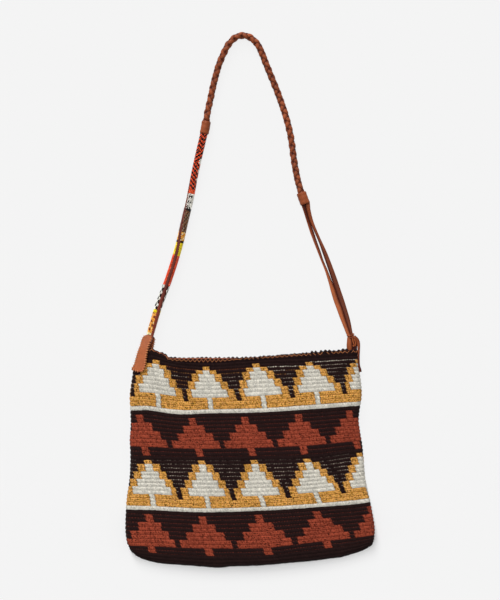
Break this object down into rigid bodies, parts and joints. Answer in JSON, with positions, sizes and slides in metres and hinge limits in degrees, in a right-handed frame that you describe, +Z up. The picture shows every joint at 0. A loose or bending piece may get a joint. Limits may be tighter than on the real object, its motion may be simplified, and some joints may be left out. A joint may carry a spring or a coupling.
{
  "type": "crochet shoulder bag",
  "caption": "Flat tapestry-crochet shoulder bag with stepped tree bands, an open mouth, and a beaded, braided and leather-thong shoulder strap, lying on its back.",
  "frame": {"origin": "middle of the outline box, on the surface that the bag lies on", "axes": "+Z up out of the front panel, +Y from the bag's base towards the top of its strap, +X across the front from the beaded side of the strap to its knotted side"},
  "size_m": [0.3247, 0.6985, 0.022],
  "materials": {
    "crochet_yarn": "matte cotton yarn in single crochet, dark brown ground with rust, gold and off-white figures",
    "tab_leather": "tan vegetable leather, satin, whip-stitched edges",
    "strap_leather": "red-brown leather, satin",
    "glass_beads": "opaque glossy seed beads in orange-red, gold, white and black"
  },
  "bodies": {
    "root": {"crochet_body": "crochet_yarn", "rim_facing": "strap_leather", "strap_tab_front": "tab_leather", "strap_tab_rear": "tab_leather", "strap_lace": "strap_leather", "bead_sleeve": "glass_beads", "collar_left": "strap_leather", "braided_strap": "strap_leather", "collar_right": "strap_leather", "thong_left": "strap_leather", "thong_right": "strap_leather", "corner_knot": "strap_leather", "knot_loop": "strap_leather", "thong_end": "strap_leather"}
  },
  "joints": []
}
